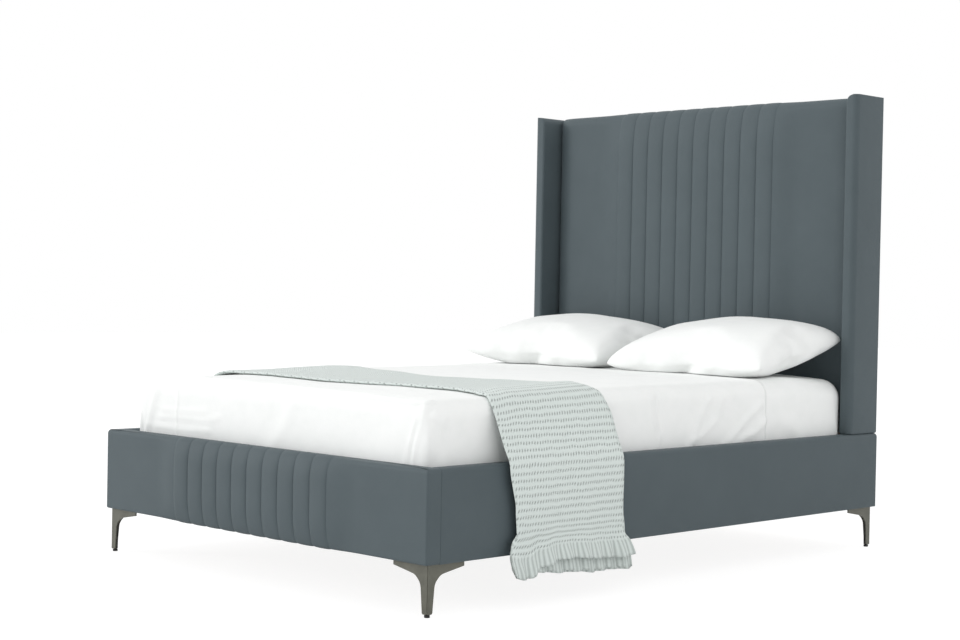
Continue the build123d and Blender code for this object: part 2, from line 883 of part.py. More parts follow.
stile = make_stile()
save("headboard_stile_right", stile)
save("headboard_stile_left", left_of(stile))
save("headboard_bottom_rail", headboard_rail(rail_bottom))
save("headboard_middle_rail", headboard_rail(rail_top + middle_rail_share * (timber_top - rail_top)))
save("headboard_top_rail", headboard_rail(timber_top - headboard_rail_height))
save("headboard_panel", block((-wing_inner, wing_inner), (panel_front, timber_front),
                              (rail_top, timber_top)))
save("headboard_pad", make_headboard_pad())
save("headboard_back_cloth", block((-wing_inner, wing_inner), (timber_back, back_face),
                                   (rail_bottom + cloth, bed_height - underside_radius)))

wing_core, wing_cover = make_wing()
save("wing_right_core", wing_core)
save("wing_left_core", left_of(wing_core))
save("wing_right_cover", wing_cover)
save("wing_left_cover", left_of(wing_cover))

save("wing_bolts", *place_all(big_bolt(wing_bolt_length), wing_bolt_places(1) + wing_bolt_places(-1)))
save("stile_bolts", *place_all(big_bolt(stile_bolt_length), stile_bolt_places(1) + stile_bolt_places(-1)))
save("corner_bolts", *place_all(big_bolt(bracket_bolt_length), bracket_bolt_places()))
save("leg_screws", *place_all(screw(leg_screw_length), leg_screw_places() + centre_screw_places()))
save("slat_screws", *place_all(screw(slat_screw_length), slat_screw_places()))
save("ledger_screws", *place_all(screw(ledger_screw_length), ledger_screw_places(1)
                                 + ledger_screw_places(-1)))

save("ledger_right", make_ledger(1))
save("ledger_left", make_ledger(-1))
save("centre_beam", make_beam())
save("beam_hangers", *make_hangers())
save("slats", *make_slats())
save("slat_straps", *make_straps())
save("corner_blocks", *make_corner_blocks())
save("corner_brackets", *make_brackets())

glide_places = corner_glide_places() | centre_glide_places()
inserts = []
for side, end in corner_signs():
    name = ("front" if end < 0 else "rear") + ("_left" if side < 0 else "_right")
    save("leg_" + name, make_leg(side, end))
    inserts.append(make_leg_insert(side, end) - stud_hole(*glide_places[name]))
save("leg_inserts", *inserts)
for name, place in glide_places.items():
    save("glide_pad_" + name, make_glide_pad(*place))
    save("glide_stud_" + name, make_glide_stud(*place))
plugs = []
for name, place in centre_glide_places().items():
    save(name.replace("centre_", "centre_leg_"), make_centre_leg(*place))
    plugs.append(make_plug(*place))
save("centre_leg_plugs", *plugs)

save("mattress", mattress_shape(0))
save("fitted_sheet", make_fitted_sheet())
save("flat_sheet", make_flat_sheet())
pillow = make_pillow()
save("pillow_right", pillow)
save("pillow_left", left_of(pillow))
save("throw_blanket", make_throw())
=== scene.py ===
import math
import bmesh
import bpy
from mathutils import Matrix, Vector, noise


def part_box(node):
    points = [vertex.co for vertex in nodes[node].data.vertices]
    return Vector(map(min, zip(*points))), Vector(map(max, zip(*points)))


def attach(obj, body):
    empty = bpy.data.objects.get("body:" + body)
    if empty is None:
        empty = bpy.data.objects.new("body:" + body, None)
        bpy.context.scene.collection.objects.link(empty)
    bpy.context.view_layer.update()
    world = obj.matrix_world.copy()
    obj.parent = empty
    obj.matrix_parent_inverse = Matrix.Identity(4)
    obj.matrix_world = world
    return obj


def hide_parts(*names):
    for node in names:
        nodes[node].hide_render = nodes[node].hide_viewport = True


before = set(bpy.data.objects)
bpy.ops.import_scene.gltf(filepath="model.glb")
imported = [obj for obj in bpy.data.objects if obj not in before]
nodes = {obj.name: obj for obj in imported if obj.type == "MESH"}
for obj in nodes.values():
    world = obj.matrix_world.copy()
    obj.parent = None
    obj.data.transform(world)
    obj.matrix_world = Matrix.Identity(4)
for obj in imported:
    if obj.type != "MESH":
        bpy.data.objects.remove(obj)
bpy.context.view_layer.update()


# Timber of the frame
# The bed stands on a frame of sawn softwood boards, planed and left bare under the cloth.
# Long boards run round the base and up the headboard, with blocks in the corners.

softwood = (0.50, 0.35, 0.20)
softwood_dark = (0.36, 0.22, 0.11)
plank_ring = 0.011


def new_material(name, colour, roughness):
    """A material and its shader, with the colour and roughness set on the shader."""
    material = bpy.data.materials.new(name)
    material.use_nodes = True
    shader = material.node_tree.nodes["Principled BSDF"]
    shader.inputs["Base Color"].default_value = (*colour, 1)
    shader.inputs["Roughness"].default_value = roughness
    return material, shader


def place_node(material, kind, inputs=None, **settings):
    """A node with its settings; an input is a number, a vector or another node's output."""
    made = material.node_tree.nodes.new(kind)
    for setting, value in settings.items():
        setattr(made, setting, value)
    for name, value in (inputs or {}).items():
        if isinstance(value, bpy.types.NodeSocket):
            material.node_tree.links.new(value, made.inputs[name])
        else:
            made.inputs[name].default_value = value
    return made


def sums(material, operation, first, second=0.0):
    return place_node(material, "ShaderNodeMath", {0: first, 1: second}, operation=operation).outputs[0]


def times(material, first, second):
    return sums(material, "MULTIPLY", first, second)


def blended(material, first, second, share):
    """A share of the second with the rest of the first."""
    return sums(material, "ADD", times(material, first, 1 - share), times(material, second, share))


def object_place(material, scale=(1, 1, 1)):
    """Places on the object, in metres times scale."""
    place = place_node(material, "ShaderNodeTexCoord").outputs["Object"]
    return place_node(material, "ShaderNodeMapping", {"Vector": place, "Scale": scale}).outputs["Vector"]


def cloud(material, place, scale, detail=2.0, roughness=0.5):
    return place_node(material, "ShaderNodeTexNoise",
                      {"Vector": place, "Scale": scale, "Detail": detail,
                       "Roughness": roughness}).outputs["Fac"]


def colour_between(material, shader, share, low, high, edges=(0.3, 0.7)):
    """The base colour runs from low to high while the share runs between the edges."""
    ramp = place_node(material, "ShaderNodeValToRGB", {"Fac": share})
    for stop, position, colour in zip(ramp.color_ramp.elements, edges, (low, high)):
        stop.position = position
        stop.color = (*colour, 1)
    material.node_tree.links.new(ramp.outputs["Color"], shader.inputs["Base Color"])


def relief(material, shader, height, depth, strength=1.0):
    """Raises and sinks the surface by a height from 0 to 1, times a depth in metres."""
    bump = place_node(material, "ShaderNodeBump",
                      {"Height": height, "Distance": depth, "Strength": strength})
    material.node_tree.links.new(bump.outputs["Normal"], shader.inputs["Normal"])


def timber(name, low, high, along, ring):
    """Wood with grain stretched along one axis of the bed."""
    material, shader = new_material(name, high, 0.62)
    squeeze = [1.0, 1.0, 1.0]
    squeeze["xyz".index(along)] = 0.06
    place = object_place(material, squeeze)
    fibre = cloud(material, place, 1 / ring, 6.0, 0.6)
    fine = cloud(material, place, 8 / ring, 3.0, 0.7)
    share = blended(material, fibre, fine, 0.25)
    colour_between(material, shader, share, low, high, (0.36, 0.62))
    relief(material, shader, share, 0.0006, 0.5)
    return material


def dress(material, *names):
    """Gives a material to frame pieces whose shape stays as it is."""
    for name in names:
        nodes[name].data.materials.clear()
        nodes[name].data.materials.append(material)
        for face in nodes[name].data.polygons:
            face.material_index = 0


dress(timber("softwood_across", softwood_dark, softwood, "x", plank_ring),
      "footboard_core", "head_rail", "headboard_bottom_rail", "headboard_middle_rail",
      "headboard_top_rail")
dress(timber("softwood_along", softwood_dark, softwood, "y", plank_ring),
      "side_rail_left_core", "side_rail_right_core", "ledger_left", "ledger_right", "centre_beam")
dress(timber("softwood_upright", softwood_dark, softwood, "z", plank_ring),
      "headboard_stile_left", "headboard_stile_right", "wing_left_core", "wing_right_core",
      "corner_blocks")


# Steel of the frame
# Zinc plated bolts and screws hold the boards together, with folded steel angles in the corners.
# The centre legs and the beam's hangers are powder coated black. The glides' studs are black too.

zinc = (0.58, 0.58, 0.60)
powder_black = (0.020, 0.020, 0.021)

zinc_steel, shader = new_material("zinc_steel", zinc, 0.36)
shader.inputs["Metallic"].default_value = 1.0
spangle = place_node(zinc_steel, "ShaderNodeTexVoronoi",
                     {"Vector": object_place(zinc_steel), "Scale": 260.0}).outputs["Color"]
colour_between(zinc_steel, shader, spangle, (0.46, 0.46, 0.49), (0.68, 0.68, 0.69), (0.1, 0.9))
relief(zinc_steel, shader, cloud(zinc_steel, object_place(zinc_steel), 900.0), 0.0001, 0.4)
dress(zinc_steel, "corner_bolts", "stile_bolts", "wing_bolts", "leg_screws", "slat_screws",
      "ledger_screws", "corner_brackets")

black_steel, shader = new_material("black_steel", powder_black, 0.48)
grit = cloud(black_steel, object_place(black_steel), 1500.0, 3.0, 0.6)
colour_between(black_steel, shader, grit, (0.016, 0.016, 0.017), (0.026, 0.026, 0.027))
relief(black_steel, shader, grit, 0.00012, 0.6)
dress(black_steel, "beam_hangers", "centre_leg_front", "centre_leg_rear",
      *[name for name in nodes if name.startswith("glide_stud")])


# Footboard cover
# One padded cover over the foot board: woven cloth on thin foam, with ten upright channels
# sewn into its middle. The cloth rolls over the top and is stapled under the board.

cloth_dark = (0.078, 0.101, 0.111)
cloth_light = (0.088, 0.113, 0.124)
thread = 0.0011
foot_low, foot_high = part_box("footboard_cover")
half_width, foot_inner = foot_high.x, foot_high.y
rail_bottom, rail_top = (corner.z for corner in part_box("side_rail_right_cover"))
channel_depth = 0.0125
foot_face = foot_low.y + channel_depth
channel_pitch = 0.070
channel_half = 0.350
seam_rise = 0.0145
crown_rise = 0.0065
least_crown = 0.6
edge_rise = 0.0018
swell_end = 0.110
staple_inset = 0.011
cloth_end = 0.312
top_roll = 0.012
corner_roll = 0.006
under_roll = 0.005
on_face = 0.0001
beside = 0.001


def woven(name, low, high, thread):
    """Plain woven cloth: threads over and under, a soft nap and faint uneven dye."""
    material, shader = new_material(name, high, 0.6)
    shader.inputs["Specular IOR Level"].default_value = 0.25
    shader.inputs["Sheen Weight"].default_value = 0.05
    shader.inputs["Sheen Roughness"].default_value = 0.45
    shader.inputs["Sheen Tint"].default_value = (0.75, 0.85, 0.9, 1)
    place = object_place(material)
    x, y, z = place_node(material, "ShaderNodeSeparateXYZ", {"Vector": place}).outputs
    across = sums(material, "ADD", x, y)
    rise = sums(material, "SUBTRACT", z, y)
    turns = 2 * math.pi / (2 * thread)
    weft = sums(material, "SINE", times(material, across, turns))
    warp = sums(material, "SINE", times(material, rise, turns))
    weave = times(material, weft, warp)
    nap = cloud(material, place, 0.5 / thread, 3.0, 0.7)
    dye = cloud(material, place, 9.0, 5.0, 0.62)
    share = blended(material, nap, dye, 0.55)
    colour_between(material, shader, share, low, high, (0.34, 0.66))
    height = sums(material, "ADD", times(material, weave, 0.5), nap)
    relief(material, shader, height, thread * 0.35, 0.55)
    return material


def leave_edit():
    if bpy.context.object and bpy.context.object.mode == "EDIT":
        bpy.ops.object.mode_set(mode="OBJECT")


def add_block(name, low, high):
    """A closed box between two corners, ready to be shaped."""
    leave_edit()
    bpy.ops.object.select_all(action="DESELECT")
    low, high = Vector(low), Vector(high)
    bpy.ops.mesh.primitive_cube_add(size=1, location=(low + high) / 2)
    piece = bpy.context.object
    piece.name = name
    piece.data.name = name
    piece.scale = high - low
    bpy.ops.object.transform_apply(location=True, rotation=True, scale=True)
    return piece


def edit(piece):
    """Enters edit mode on one piece and returns its mesh with nothing selected."""
    leave_edit()
    bpy.ops.object.select_all(action="DESELECT")
    bpy.context.view_layer.objects.active = piece
    piece.select_set(True)
    bpy.ops.object.mode_set(mode="EDIT")
    bpy.ops.mesh.select_mode(type="VERT")
    bpy.ops.mesh.select_all(action="DESELECT")
    return bmesh.from_edit_mesh(piece.data)


def edit_all(piece):
    """Enters edit mode on one piece with all of it selected."""
    edit(piece)
    bpy.ops.mesh.select_all(action="SELECT")


def pick_edges(piece, wanted):
    """Selects the edges whose middle passes the test."""
    mesh = edit(piece)
    bpy.ops.mesh.select_mode(type="EDGE")
    for edge in mesh.edges:
        edge.select_set(wanted((edge.verts[0].co + edge.verts[1].co) / 2))
    bmesh.update_edit_mesh(piece.data)


def roll_edges(piece, wanted, radius, segments=6):
    """Rounds the picked edges with a radius."""
    pick_edges(piece, wanted)
    bpy.ops.mesh.bevel(offset=radius, offset_type="OFFSET", segments=segments, affect="EDGES",
                       clamp_overlap=False)
    leave_edit()


def plane_at(axis, place):
    """A cutting plane square to an axis."""
    point, normal = Vector(), Vector()
    point[axis], normal[axis] = place, 1.0
    return {"plane_co": point, "plane_no": normal}


def slice_at(piece, axis, places):
    """Cuts new edge lines round the piece at each place on an axis, without parting it."""
    edit(piece)
    for place in places:
        bpy.ops.mesh.select_all(action="SELECT")
        bpy.ops.mesh.bisect(**plane_at(axis, place), threshold=0.00005)
    leave_edit()


def apply_to(piece, modifier):
    """Makes a modifier part of the piece's mesh."""
    bpy.ops.object.select_all(action="DESELECT")
    bpy.context.view_layer.objects.active = piece
    bpy.ops.object.modifier_apply(modifier=modifier.name)


def cut_out(piece, low, high):
    """Takes a box out of a piece, such as the room for the board inside its cover."""
    cutter = add_block("cutter", low, high)
    carve = piece.modifiers.new("carve", "BOOLEAN")
    carve.operation = "DIFFERENCE"
    carve.solver = "EXACT"
    carve.object = cutter
    apply_to(piece, carve)
    bpy.data.objects.remove(cutter)


def dress_piece(piece, material, smooth=math.radians(35)):
    """Closes the work on a piece: faces outwards, smooth shading and its material."""
    edit_all(piece)
    bpy.ops.mesh.remove_doubles(threshold=0.00002)
    bpy.ops.mesh.normals_make_consistent(inside=False)
    leave_edit()
    piece.data.materials.clear()
    piece.data.materials.append(material)
    bpy.ops.object.shade_smooth_by_angle(angle=smooth)
    return piece


def channel_lines():
    """Where the channels' cloth turns: close lines at each seam, wider over each crown."""
    shares = (0.0, 0.012, 0.035, 0.075, 0.14, 0.22, 0.33, 0.5, 0.67, 0.78, 0.86, 0.925, 0.965, 0.988)
    lines = []
    for number in range(10):
        start = number * channel_pitch - channel_half
        lines += [start + share * channel_pitch for share in shares]
    lines.append(channel_half)
    outer = [channel_half + share * swell_end for share in (0.04, 0.12, 0.25, 0.40, 0.58, 0.78, 1.0)]
    return lines + outer + [-place for place in outer]


def swell(x):
    """How far the channels lift the cloth: 1 among them, less beside them, 0 away from them."""
    share = max(0.0, min(1.0, (abs(x) - channel_half) / swell_end))
    return 0.5 + 0.5 * math.cos(math.pi * share)


def crown(x):
    """The cross section of a channel: 0 at its seams and 1 in its middle."""
    if abs(x) > channel_half:
        return 0.0
    share = (abs(x) / channel_pitch) % 1.0
    return (1 - abs(2 * share - 1) ** 2.7) ** 0.68


def facings(piece):
    """The way each vertex faces before any of them is moved."""
    return [vertex.normal.copy() for vertex in piece.data.vertices]


def swell_channels(piece, front, low, high, low_reach, high_reach, low_share, high_share):
    """Pushes the front of a board out into sewn channels, and its top and bottom a little.
    Towards the low and high ends, over these reaches, the seams sink to these shares."""
    normals = facings(piece)
    for vertex in piece.data.vertices:
        place = vertex.co
        normal = normals[vertex.index]
        if place.y > front or abs(place.x) > channel_half + swell_end:
            continue
        near_low = max(0.0, 1 - (place.z - low) / low_reach)
        near_high = max(0.0, 1 - (high - place.z) / high_reach)
        share = 1 - (1 - low_share) * (1 - math.sqrt(max(0.0, 1 - near_low ** 2)))
        share -= (1 - high_share) * (1 - math.sqrt(max(0.0, 1 - near_high ** 2)))
        forward = seam_rise * swell(place.x) * share + crown_rise * crown(place.x) * max(share, least_crown)
        outward = edge_rise * swell(place.x) + edge_rise * crown(place.x)
        vertex.co = place + Vector((0, normal.y * forward, normal.z * outward))


upholstery = woven("upholstery", cloth_dark, cloth_light, thread)

footboard = add_block("footboard_upholstery", (-half_width, foot_face, rail_bottom),
                      (half_width, foot_inner, rail_top))
roll_edges(footboard, lambda middle: middle.y < foot_face + beside and abs(middle.x) > half_width - beside,
           corner_roll)
roll_edges(footboard, lambda middle: middle.z > rail_top - on_face and middle.y < foot_inner - beside,
           top_roll)
roll_edges(footboard, lambda middle: middle.z < rail_bottom + on_face, under_roll, 3)
slice_at(footboard, 0, channel_lines())
slice_at(footboard, 2, [0.143, 0.149, 0.156, 0.164, 0.173, 0.184, 0.198, 0.216, 0.240, 0.275, 0.300,
                        0.316, 0.330, 0.342, 0.352, 0.360])
swell_channels(footboard, foot_inner - 0.020, rail_bottom, rail_top, 0.095, 0.070, -0.30, -0.50)
core_low, core_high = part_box("footboard_core")
cut_out(footboard, core_low, core_high)
cut_out(footboard, (core_low.x + staple_inset, core_high.y - 0.005, rail_bottom - 0.02),
        (core_high.x - staple_inset, foot_inner + 0.02, cloth_end))
dress_piece(footboard, upholstery)
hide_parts("footboard_cover")
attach(footboard, "bed_frame")


# Side rail covers
# Each side rail is wrapped in the same cloth over thin foam. A seam runs up its front end where
# it meets the foot board, and the back end stays open behind the headboard.

rail_low, rail_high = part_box("side_rail_right_cover")
seam_radius = 0.004
inner_roll = 0.010


def mirrored(piece, name):
    """A copy of a piece on the other side of the bed, with its own mesh."""
    twin = piece.copy()
    twin.data = piece.data.copy()
    twin.name = name
    twin.data.name = name
    bpy.context.collection.objects.link(twin)
    twin.data.transform(Matrix.Scale(-1, 4, (1, 0, 0)))
    twin.data.flip_normals()
    return twin


side_rail = add_block("side_rail_right_upholstery", rail_low, rail_high)
roll_edges(side_rail, lambda middle: middle.y > rail_high.y - beside and middle.x > rail_high.x - beside,
           corner_roll)
roll_edges(side_rail, lambda middle: middle.z > rail_top - on_face and middle.x > rail_low.x + beside
           and middle.y > rail_low.y + beside, top_roll)
roll_edges(side_rail, lambda middle: middle.z > rail_top - on_face and middle.x < rail_low.x + beside,
           inner_roll, 4)
roll_edges(side_rail, lambda middle: middle.y < rail_low.y + on_face and middle.x > rail_low.x + seam_radius
           and middle.z > rail_low.z + seam_radius, seam_radius, 3)
slice_at(side_rail, 1, [rail_low.y + 0.1 * number for number in range(1, 20)])
core_low, core_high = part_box("side_rail_right_core")
cut_out(side_rail, core_low - Vector((0, 0.01, 0)), core_high)
cut_out(side_rail, (rail_low.x - 0.01, rail_low.y - 0.01, rail_low.z - 0.01),
        (core_low.x + 0.0005, rail_high.y + 0.01, cloth_end))
dress_piece(side_rail, upholstery)
other_rail = mirrored(side_rail, "side_rail_left_upholstery")
for piece, node in ((side_rail, "side_rail_right_cover"), (other_rail, "side_rail_left_cover")):
    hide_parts(node)
    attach(piece, "bed_frame")


# Corner legs
# Four cast and painted metal legs, each an angle of two faces that narrows to a foot.
# A black plastic post fills the angle and holds the threaded glide that levels the bed.

gunmetal_dark = (0.112, 0.112, 0.092)
gunmetal_light = (0.160, 0.160, 0.132)

leg_metal, shader = new_material("leg_metal", gunmetal_light, 0.27)
shader.inputs["Metallic"].default_value = 0.45
brushed = cloud(leg_metal, object_place(leg_metal, (1, 1, 0.08)), 700.0, 3.0, 0.7)
worn = cloud(leg_metal, object_place(leg_metal), 22.0, 4.0, 0.6)
colour_between(leg_metal, shader, blended(leg_metal, brushed, worn, 0.5), gunmetal_dark, gunmetal_light,
               (0.35, 0.65))
relief(leg_metal, shader, brushed, 0.0001, 0.4)
dress(leg_metal, "leg_front_left", "leg_front_right", "leg_rear_left", "leg_rear_right")

black_plastic, shader = new_material("black_plastic", (0.012, 0.012, 0.013), 0.5)
grain = cloud(black_plastic, object_place(black_plastic), 1800.0, 2.0)
colour_between(black_plastic, shader, grain, (0.010, 0.010, 0.011), (0.018, 0.018, 0.019))
relief(black_plastic, shader, grain, 0.0001, 0.5)
dress(black_plastic, "leg_inserts", "centre_leg_plugs",
      *[name for name in nodes if name.startswith("glide_pad")])


# Slats
# Fourteen flat softwood slats lie across the ledgers and the centre beam. Two woven tapes, stapled
# under them, keep them apart, and screws hold the first and the last. A tape is flat under each
# slat and a little past it, and sags between two slats.

tape_low, tape_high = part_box("slat_straps")
tape_width = 0.025
tape_thickness = 0.0011
tape_gap = 0.0001
tape_sag = 0.0015
slat_count = 14
flat_half = 0.0375
flat_pitch = (tape_high.y - tape_low.y - 2 * flat_half) / (slat_count - 1)

dress(timber("slat_wood", (0.46, 0.32, 0.18), (0.66, 0.50, 0.32), "x", 0.009), "slats")


def give_thickness(piece, thickness):
    """Cloth thickness, grown outwards, applied to the mesh."""
    wall = piece.modifiers.new("wall", "SOLIDIFY")
    wall.thickness = thickness
    wall.offset = 1.0
    apply_to(piece, wall)


def add_net(name, across, along):
    """A flat net of faces, one unit each way, to be shaped into a cloth."""
    leave_edit()
    bpy.ops.object.select_all(action="DESELECT")
    bpy.ops.mesh.primitive_grid_add(x_subdivisions=across, y_subdivisions=along, size=1, calc_uvs=True)
    net = bpy.context.object
    net.name = name
    net.data.name = name
    return net


def smooth_step(share):
    share = min(1.0, max(0.0, share))
    return share * share * (3 - 2 * share)


webbing, shader = new_material("webbing", (0.62, 0.60, 0.52), 0.9)
rib = place_node(webbing, "ShaderNodeTexWave", {"Vector": object_place(webbing), "Scale": 260.0},
                 bands_direction="Y").outputs["Fac"]
colour_between(webbing, shader, rib, (0.50, 0.48, 0.41), (0.66, 0.64, 0.56))
relief(webbing, shader, rib, 0.0004, 0.7)
for side, name in ((1, "slat_tape_right"), (-1, "slat_tape_left")):
    tape = add_net(name, 3, 270)
    for vertex in tape.data.vertices:
        y = tape_low.y + (vertex.co.y + 0.5) * (tape_high.y - tape_low.y)
        from_slat = abs(((y - tape_low.y - flat_half) / flat_pitch + 0.5) % 1.0 - 0.5) * flat_pitch
        dip = tape_sag * smooth_step((from_slat - flat_half) / 0.025)
        vertex.co = Vector((side * (tape_high.x - tape_width / 2 + vertex.co.x * tape_width), y,
                            tape_high.z - tape_thickness - tape_gap - dip))
    dress_piece(tape, webbing)
    if tape.data.polygons[0].normal.z < 0:
        tape.data.flip_normals()
    give_thickness(tape, tape_thickness)
    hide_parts("slat_straps")
    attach(tape, "bed_frame")


# Headboard timber
# A plywood sheet closes the headboard's frame at the front and carries its padding. It is glued
# and stapled to the rails and stiles, and none of it shows.

dress(timber("plywood", (0.42, 0.30, 0.18), (0.60, 0.46, 0.30), "x", 0.016), "headboard_panel")


# Headboard pad
# Thicker foam on the plywood sheet, covered in the same cloth. It rolls over the top and turns
# in at each wing, and the same ten channels are sewn into its middle.

pad_low, pad_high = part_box("headboard_pad")
pad_side_roll = 0.085
pad_side_depth = 0.042
pad_top_roll = 0.034
pad_face = pad_low.y + channel_depth
pad_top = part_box("wing_right_cover")[1].z

pad = add_block("headboard_upholstery", (pad_low.x, pad_face, rail_top), (pad_high.x, pad_high.y, pad_top))
roll_edges(pad, lambda middle: middle.z > pad_top - on_face and middle.y < pad_high.y - beside
           and abs(middle.x) < pad_high.x - on_face, pad_top_roll, 8)
side_lines = [pad_high.x - pad_side_roll * share for share in (0.04, 0.12, 0.24, 0.40, 0.58, 0.78, 1.0)]
slice_at(pad, 0, channel_lines() + side_lines + [-place for place in side_lines])
slice_at(pad, 2, [0.420, 0.500, 0.600, 0.700, 0.800, 0.900, 1.000, 1.100, 1.200, 1.300, 1.360, 1.400,
                  1.425, 1.445, 1.458])
for vertex in pad.data.vertices:
    turn_in = max(0.0, 1 - (pad_high.x - abs(vertex.co.x)) / pad_side_roll)
    back = (vertex.co.y - pad_face) / (pad_high.y - pad_face)
    vertex.co.y += pad_side_depth * (1 - math.sqrt(max(0.0, 1 - turn_in ** 2))) * (1 - back)
swell_channels(pad, pad_high.y - 0.020, rail_top, pad_top, 0.060, 0.170, 0.6, -1.3)
panel_low, panel_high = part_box("headboard_panel")
cut_out(pad, (pad_low.x - 0.01, panel_low.y, rail_top - 0.01),
        (pad_high.x + 0.01, pad_high.y + 0.01, panel_high.z))
dress_piece(pad, upholstery)
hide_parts("headboard_pad")
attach(pad, "bed_frame")


# Back cloth
# A thin black non-woven cloth closes the headboard's back. Its edges are folded in and stapled to
# the stiles and rails, and it hangs a little loose between them.

back_low, back_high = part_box("headboard_back_cloth")
back_black = (0.022, 0.022, 0.024)
back_hem = 0.020
back_cell = 0.020
back_thickness = 0.0006

back_across = round((back_high.x - back_low.x) / back_cell)
back_up = round((back_high.z - back_low.z) / back_cell)
dust_cloth = add_net("headboard_dust_cloth", back_across, back_up)
for vertex in dust_cloth.data.vertices:
    x = back_low.x + (vertex.co.x + 0.5) * (back_high.x - back_low.x)
    z = back_low.z + (vertex.co.y + 0.5) * (back_high.z - back_low.z)
    from_edge = min(back_high.x - abs(x), z - back_low.z, back_high.z - z)
    loose = smooth_step((from_edge - back_hem) / 0.06)
    ripple = 0.0003 * noise.noise(Vector((x * 6, 3, z * 4)))
    ripple += 0.0002 * noise.noise(Vector((x * 20, 5, z * 9)))
    hem = 0.0004 if from_edge < back_hem else 0.0
    vertex.co = Vector((x, back_low.y + 0.0007 + hem + (ripple - 0.0001) * loose, z))
non_woven, shader = new_material("back_cloth", back_black, 0.95)
place = object_place(non_woven)
fleece = cloud(non_woven, place, 900.0, 3.0, 0.7)
dots = place_node(non_woven, "ShaderNodeTexVoronoi", {"Vector": place, "Scale": 420.0}).outputs["Distance"]
colour_between(non_woven, shader, fleece, (0.016, 0.016, 0.018), (0.030, 0.030, 0.032))
relief(non_woven, shader, sums(non_woven, "ADD", dots, fleece), 0.0003, 0.6)
dress_piece(dust_cloth, non_woven)
if dust_cloth.data.polygons[0].normal.y < 0:
    dust_cloth.data.flip_normals()
give_thickness(dust_cloth, back_thickness)
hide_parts("headboard_back_cloth")
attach(dust_cloth, "bed_frame")


# Wings
# A padded wing stands on each side rail and is bolted to the headboard from behind.
# Its timber is wrapped in foam and in the same cloth, rounded at every edge.

wing_low, wing_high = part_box("wing_right_cover")
wing_roll = 0.008
wing_top_roll = 0.024
wing_back_roll = 0.003
wing_front_roll = 0.020
wing_foot_roll = 0.006

wing = add_block("wing_right_upholstery", wing_low, wing_high)
roll_edges(wing, lambda middle: middle.x < wing_low.x + beside and middle.z > wing_high.z - beside,
           wing_top_roll, 8)
roll_edges(wing, lambda middle: middle.x > wing_high.x - beside and middle.y < wing_low.y + beside,
           wing_front_roll, 8)
roll_edges(wing, lambda middle: middle.y < wing_low.y + on_face and middle.z > wing_low.z + beside
           and (middle.x < wing_high.x - wing_front_roll - 0.0005), wing_roll, 6)
roll_edges(wing, lambda middle: wing_low.z + 0.3 < middle.z < wing_high.z - 0.3
           and middle.y > wing_high.y - beside, wing_back_roll, 3)
roll_edges(wing, lambda middle: middle.z > wing_high.z - on_face and middle.x > wing_high.x - on_face,
           wing_back_roll, 3)
roll_edges(wing, lambda middle: middle.z < wing_low.z + on_face, wing_foot_roll, 3)
slice_at(wing, 2, [rail_top + 0.1 * number for number in range(1, 11)])
core_low, core_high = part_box("wing_right_core")
cut_out(wing, core_low - Vector((0, 0, 0.01)), core_high)
dress_piece(wing, upholstery)
other_wing = mirrored(wing, "wing_left_upholstery")
for piece, node in ((wing, "wing_right_cover"), (other_wing, "wing_left_cover")):
    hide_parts(node)
    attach(piece, "bed_frame")


# Mattress
# A sprung mattress about 245 mm deep in quilted ticking, which sinks between the rails onto the
# slats. Its edges are rounded, and its top lies lower towards the foot and the sides.

mattress_low, mattress_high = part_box("mattress")
ticking_light = (0.90, 0.905, 0.895)
ticking_dark = (0.84, 0.845, 0.835)
mattress_corner = 0.075
mattress_edge = 0.058
mattress_under = 0.025
mattress_cell = 0.045
foot_sag = 0.016
right_sag = 0.009
left_sag = 0.018
head_sag = 0.016


def towards_foot(y):
    """0 in the middle of the bed and 1 over its foot end."""
    return smooth_step((-y - 0.15) / 0.65)


def sag(place):
    """How much lower the bed's top lies at a place than in its middle."""
    foot = foot_sag * towards_foot(place.y)
    edge = (abs(place.x) / mattress_high.x) ** 4
    side = edge * smooth_step((0.75 - place.y) / 0.5) * (right_sag if place.x > 0 else left_sag)
    head = edge * smooth_step((place.y - 0.62) / 0.25) * head_sag
    height = smooth_step((place.z - 0.36) / 0.18)
    return (foot + side + head) * height


def padded_form(name, low, high, corner, edge, under, spacing):
    """A soft block with round upright corners, cut into a net of faces about spacing wide."""
    form = add_block(name, low, high)
    roll_edges(form, lambda middle: abs(abs(middle.x) - high.x) < beside
               and (abs(middle.y - low.y) < beside or abs(middle.y - high.y) < beside), corner, 12)
    roll_edges(form, lambda middle: middle.z > high.z - on_face, edge, 8)
    roll_edges(form, lambda middle: middle.z < low.z + on_face, under, 4)
    for axis in range(3):
        count = round((high[axis] - low[axis]) / spacing)
        step = (high[axis] - low[axis]) / count
        slice_at(form, axis, [low[axis] + step * number for number in range(1, count)])
    return form


mattress = padded_form("mattress_ticking", mattress_low, mattress_high, mattress_corner, mattress_edge,
                       mattress_under, mattress_cell)
for vertex in mattress.data.vertices:
    vertex.co.z -= sag(vertex.co)
ticking, shader = new_material("mattress_ticking", ticking_light, 0.85)
place = object_place(ticking)
quilting = place_node(ticking, "ShaderNodeTexWave", {"Vector": place, "Scale": 7.0},
                      bands_direction="DIAGONAL").outputs["Fac"]
diamond = times(ticking, quilting, cloud(ticking, place, 60.0))
colour_between(ticking, shader, diamond, ticking_dark, ticking_light, (0.1, 0.5))
relief(ticking, shader, diamond, 0.003, 0.7)
dress_piece(mattress, ticking)
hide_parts("mattress")
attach(mattress, "mattress")


# Fitted sheet
# A white cotton sheet pulled down over the mattress, tight over its edges. It shows at the head
# end and on the side beyond the flat sheet, where a seam and a few creases run along it.

